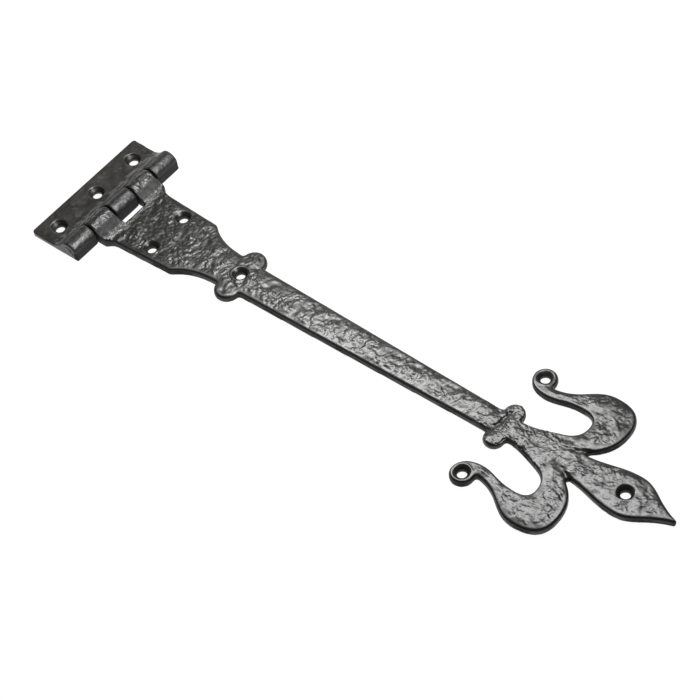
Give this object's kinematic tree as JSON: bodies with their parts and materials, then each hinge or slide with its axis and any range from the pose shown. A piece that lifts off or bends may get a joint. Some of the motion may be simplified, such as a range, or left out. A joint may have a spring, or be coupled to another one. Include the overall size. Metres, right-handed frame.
{
  "type": "tee hinge",
  "caption": "Cast iron tee hinge: short frame leaf, knuckle barrel on a peened pin, and a long tapered strap with round side lobes that ends in a fleur-de-lis, to hang a door or gate.",
  "frame": {"origin": "foot of the pin's mid-length, on the flat back of the frame leaf", "axes": "+X along the strap towards its tip, +Y along the pin, +Z out of the face that shows"},
  "size_m": [0.411, 0.0956, 0.0127],
  "materials": {
    "black_iron": "rough casting under black semi-gloss paint",
    "pin_steel": "steel pin, its peened ends painted over with the casting"
  },
  "bodies": {
    "frame": {"frame_leaf": "black_iron", "hinge_pin": "pin_steel"},
    "strap": {"strap_leaf": "black_iron"}
  },
  "joints": [
    {"name": "strap_swing", "type": "hinge", "parent": "frame", "child": "strap", "pos_m": [0, 0, 0.00635], "axis": [0, -1, 0], "range_deg": [0, 160]}
  ]
}
